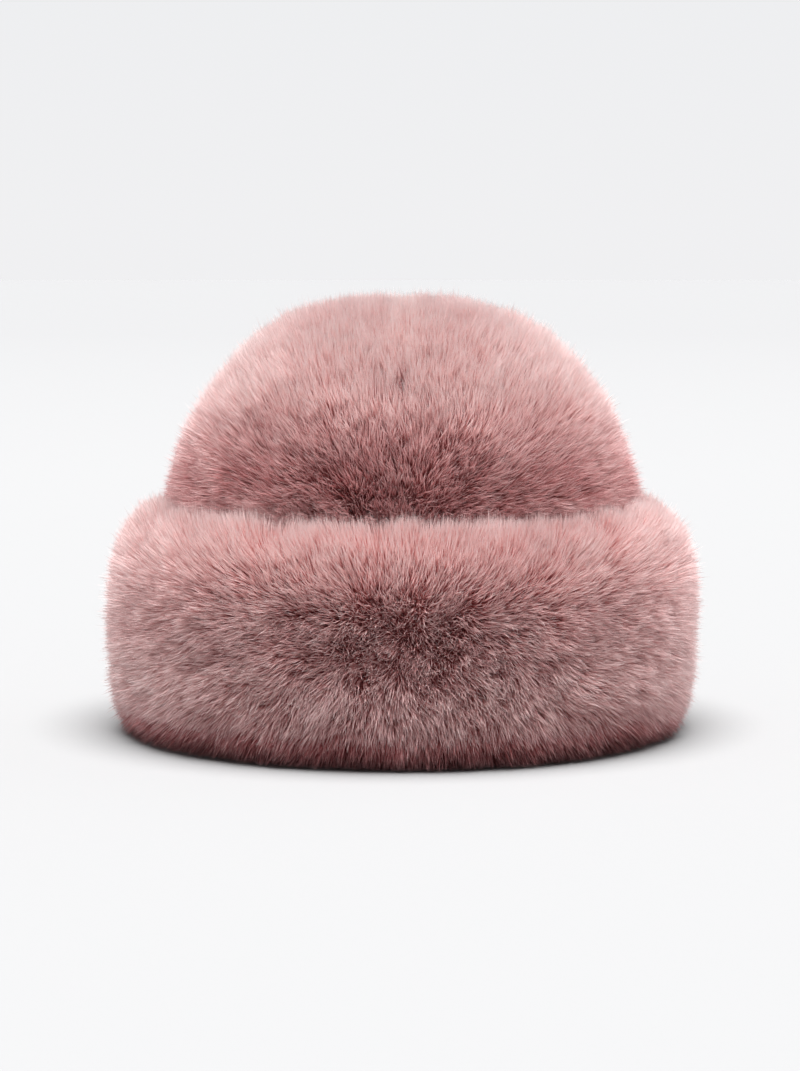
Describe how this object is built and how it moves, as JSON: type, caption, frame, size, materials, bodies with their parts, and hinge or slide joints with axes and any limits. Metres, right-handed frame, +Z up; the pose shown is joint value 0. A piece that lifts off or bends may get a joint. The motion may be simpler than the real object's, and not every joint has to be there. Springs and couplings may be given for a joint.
{
  "type": "faux fur hat with turned-up cuff",
  "caption": "Domed faux fur hat in dusty pink with a wide, thick fur cuff turned up round the crown and an open head hollow.",
  "frame": {"origin": "middle of the ring that the hat stands on, on the floor plane", "axes": "+Z up through the crown, -Y the way the wearer looks, +X to the wearer's left"},
  "size_m": [0.2865, 0.2987, 0.2069],
  "materials": {
    "crown_fur": "dusty pink long-pile faux fur, soft sheen, paler towards the tips",
    "cuff_fur": "dusty pink long-pile faux fur, soft sheen, paler towards the tips",
    "backing": "matt knitted backing of the fur fabric, seen only inside"
  },
  "bodies": {
    "root": {"crown_left": "crown_fur", "crown_right": "crown_fur", "cuff": "cuff_fur"}
  },
  "joints": []
}
